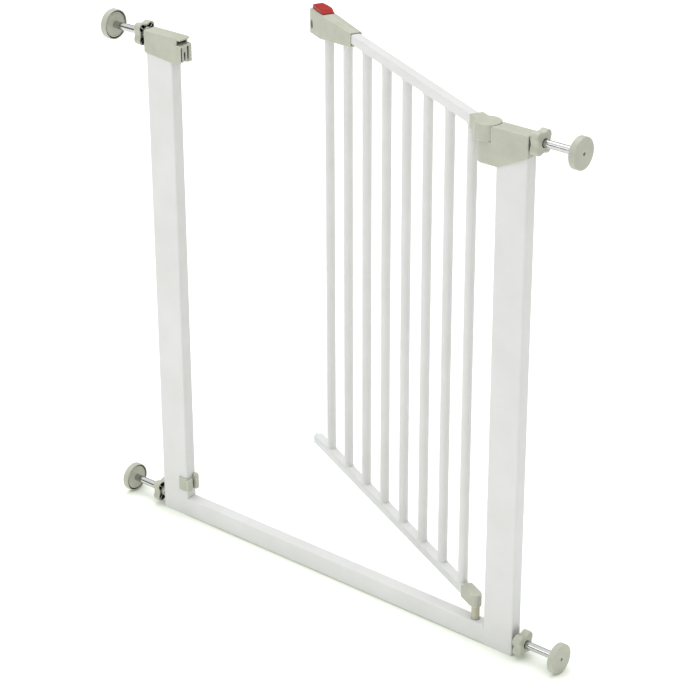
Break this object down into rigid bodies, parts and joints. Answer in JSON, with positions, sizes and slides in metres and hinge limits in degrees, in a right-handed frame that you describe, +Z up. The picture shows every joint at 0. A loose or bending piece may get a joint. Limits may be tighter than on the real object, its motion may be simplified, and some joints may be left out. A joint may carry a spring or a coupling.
{
  "type": "pet gate",
  "caption": "Pressure-fitted pet gate for a doorway: a barred leaf with a thumb latch, hung in a low steel frame that four hand-tightened wall spindles clamp in place.",
  "frame": {"origin": "on the floor under the middle of the bottom rail, at mid depth", "axes": "+X across the doorway from the latch side to the hinge side, +Y through the doorway to the side the stored leaf stands open to, +Z up"},
  "size_m": [0.826, 0.2577, 0.7885],
  "materials": {
    "white_steel": "powder coated, satin",
    "grey_plastic": "moulded, satin",
    "spindle_plastic": "moulded, satin",
    "bearing_plastic": "moulded, plain",
    "white_plastic": "moulded, satin",
    "red_plastic": "moulded, satin",
    "bright_rod": "polished plating",
    "plated_steel": "zinc plated"
  },
  "bodies": {
    "frame": {"left_post": "white_steel", "right_post": "white_steel", "bottom_rail": "white_steel", "post_foot_plugs": "bearing_plastic", "latch_housing": "grey_plastic", "latch_strike": "grey_plastic", "hinge_housing": "grey_plastic", "hinge_bush": "bearing_plastic", "housing_screws": "plated_steel", "lower_catch": "grey_plastic", "pivot_bush": "bearing_plastic", "pivot_pin": "plated_steel", "pivot_washer": "plated_steel", "spindle_bushes": "spindle_plastic"},
    "sleeve": {"pivot_sleeve": "bearing_plastic"},
    "leaf": {"leaf_top_rail": "white_steel", "leaf_bottom_rail": "white_steel", "bar_1": "white_steel", "bar_2": "white_steel", "bar_3": "white_steel", "bar_4": "white_steel", "bar_5": "white_steel", "bar_6": "white_steel", "bar_7": "white_steel", "bar_8": "white_steel", "upper_hinge_cap": "grey_plastic", "upper_hinge_pin": "plated_steel", "lower_hinge_cap": "grey_plastic", "end_shoe": "white_plastic", "rail_end_plug": "bearing_plastic", "handle_front_shell": "grey_plastic", "handle_rear_shell": "grey_plastic", "handle_screws": "plated_steel", "latch_spring": "plated_steel"},
    "release": {"release_button": "red_plastic", "latch_bolt": "bearing_plastic"},
    "nut_upper_left": {"hand_nut_upper_left": "spindle_plastic", "nut_insert_upper_left": "plated_steel"},
    "spindle_upper_left": {"spindle_rod_upper_left": "bright_rod", "foot_disc_upper_left": "spindle_plastic", "wall_cup_upper_left": "spindle_plastic"},
    "nut_upper_right": {"hand_nut_upper_right": "spindle_plastic", "nut_insert_upper_right": "plated_steel"},
    "spindle_upper_right": {"spindle_rod_upper_right": "bright_rod", "foot_disc_upper_right": "spindle_plastic", "wall_cup_upper_right": "spindle_plastic"},
    "nut_lower_left": {"hand_nut_lower_left": "spindle_plastic", "nut_insert_lower_left": "plated_steel"},
    "spindle_lower_left": {"spindle_rod_lower_left": "bright_rod", "foot_disc_lower_left": "spindle_plastic", "wall_cup_lower_left": "spindle_plastic"},
    "nut_lower_right": {"hand_nut_lower_right": "spindle_plastic", "nut_insert_lower_right": "plated_steel"},
    "spindle_lower_right": {"spindle_rod_lower_right": "bright_rod", "foot_disc_lower_right": "spindle_plastic", "wall_cup_lower_right": "spindle_plastic"}
  },
  "joints": [
    {"name": "gate_swing", "type": "hinge", "parent": "frame", "child": "sleeve", "pos_m": [0.2639, 0, 0], "axis": [0, 0, 1], "range_deg": [-64.8, 115.2]},
    {"name": "gate_lift", "type": "slide", "parent": "sleeve", "child": "leaf", "axis": [0, 0, 1], "range_m": [0, 0.013]},
    {"name": "latch_release", "type": "slide", "parent": "leaf", "child": "release", "axis": [0.9048, -0.4258, 0], "range_m": [0, 0.009], "stiffness_N_per_m": 400, "springref_m": -0.01, "deforming": ["latch_spring"]},
    {"name": "nut_turn_upper_left", "type": "hinge", "parent": "frame", "child": "nut_upper_left", "pos_m": [-0.345, 0, 0.7665], "axis": [1, 0, 0], "range_deg": [-1440, 2880]},
    {"name": "spindle_travel_upper_left", "type": "slide", "parent": "frame", "child": "spindle_upper_left", "axis": [-1, 0, 0], "range_m": [-0.008, 0.016]},
    {"name": "nut_turn_upper_right", "type": "hinge", "parent": "frame", "child": "nut_upper_right", "pos_m": [0.345, 0, 0.7665], "axis": [-1, 0, 0], "range_deg": [-1440, 2880]},
    {"name": "spindle_travel_upper_right", "type": "slide", "parent": "frame", "child": "spindle_upper_right", "axis": [1, 0, 0], "range_m": [-0.008, 0.016]},
    {"name": "nut_turn_lower_left", "type": "hinge", "parent": "frame", "child": "nut_lower_left", "pos_m": [-0.345, 0, 0.0225], "axis": [1, 0, 0], "range_deg": [-1440, 2880]},
    {"name": "spindle_travel_lower_left", "type": "slide", "parent": "frame", "child": "spindle_lower_left", "axis": [-1, 0, 0], "range_m": [-0.008, 0.016]},
    {"name": "nut_turn_lower_right", "type": "hinge", "parent": "frame", "child": "nut_lower_right", "pos_m": [0.345, 0, 0.0225], "axis": [-1, 0, 0], "range_deg": [-1440, 2880]},
    {"name": "spindle_travel_lower_right", "type": "slide", "parent": "frame", "child": "spindle_lower_right", "axis": [1, 0, 0], "range_m": [-0.008, 0.016]}
  ],
  "couplings": [
    {"joint": "nut_turn_upper_left", "follows": "spindle_travel_upper_left", "rad_per_m": 3141.6},
    {"joint": "nut_turn_upper_right", "follows": "spindle_travel_upper_right", "rad_per_m": 3141.6},
    {"joint": "nut_turn_lower_left", "follows": "spindle_travel_lower_left", "rad_per_m": 3141.6},
    {"joint": "nut_turn_lower_right", "follows": "spindle_travel_lower_right", "rad_per_m": 3141.6}
  ]
}
